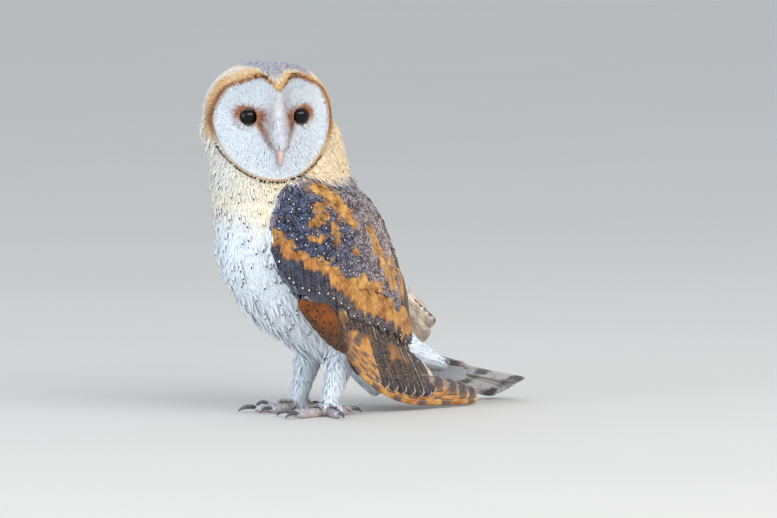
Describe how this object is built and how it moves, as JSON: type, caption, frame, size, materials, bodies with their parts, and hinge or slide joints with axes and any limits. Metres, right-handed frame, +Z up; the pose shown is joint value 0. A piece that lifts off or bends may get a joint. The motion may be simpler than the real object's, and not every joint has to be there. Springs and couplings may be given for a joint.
{
  "type": "barn owl",
  "caption": "Life-size barn owl model standing still, head turned over its left wing, wings folded, wing tips and tail down at floor level.",
  "frame": {"origin": "middle of the bird's box, at floor level", "axes": "+Z up, -Y the way the trunk faces, +X to the bird's left"},
  "size_m": [0.1186, 0.2886, 0.2702],
  "materials": {
    "plumage": "soft matt feather, white to golden buff with small dark spots",
    "wing_covert": "matt feather, slate grey and golden buff, finely mottled",
    "flight_feather": "matt feather, buff with grey-brown bars",
    "tail_feather": "matt feather, white below and buff above, with dark bars",
    "foot_skin": "blotched grey-pink skin",
    "claw_horn": "dark blue-grey horn",
    "bill_horn": "ivory-pink horn",
    "eye": "wet, near black"
  },
  "bodies": {
    "root": {"head": "plumage", "neck": "plumage", "trunk": "plumage", "tail": "tail_feather", "wing_left": "wing_covert", "flight_feathers_left": "flight_feather", "wing_right": "wing_covert", "flight_feathers_right": "flight_feather", "thigh_left": "plumage", "tarsus_left": "plumage", "foot_left": "foot_skin", "thigh_right": "plumage", "tarsus_right": "plumage", "foot_right": "foot_skin", "eye_left": "eye", "eye_right": "eye", "bill_upper": "bill_horn", "bill_lower": "bill_horn", "claw_left_inner": "claw_horn", "claw_left_middle": "claw_horn", "claw_left_outer": "claw_horn", "claw_left_hind": "claw_horn", "claw_right_inner": "claw_horn", "claw_right_middle": "claw_horn", "claw_right_outer": "claw_horn", "claw_right_hind": "claw_horn"}
  },
  "joints": []
}
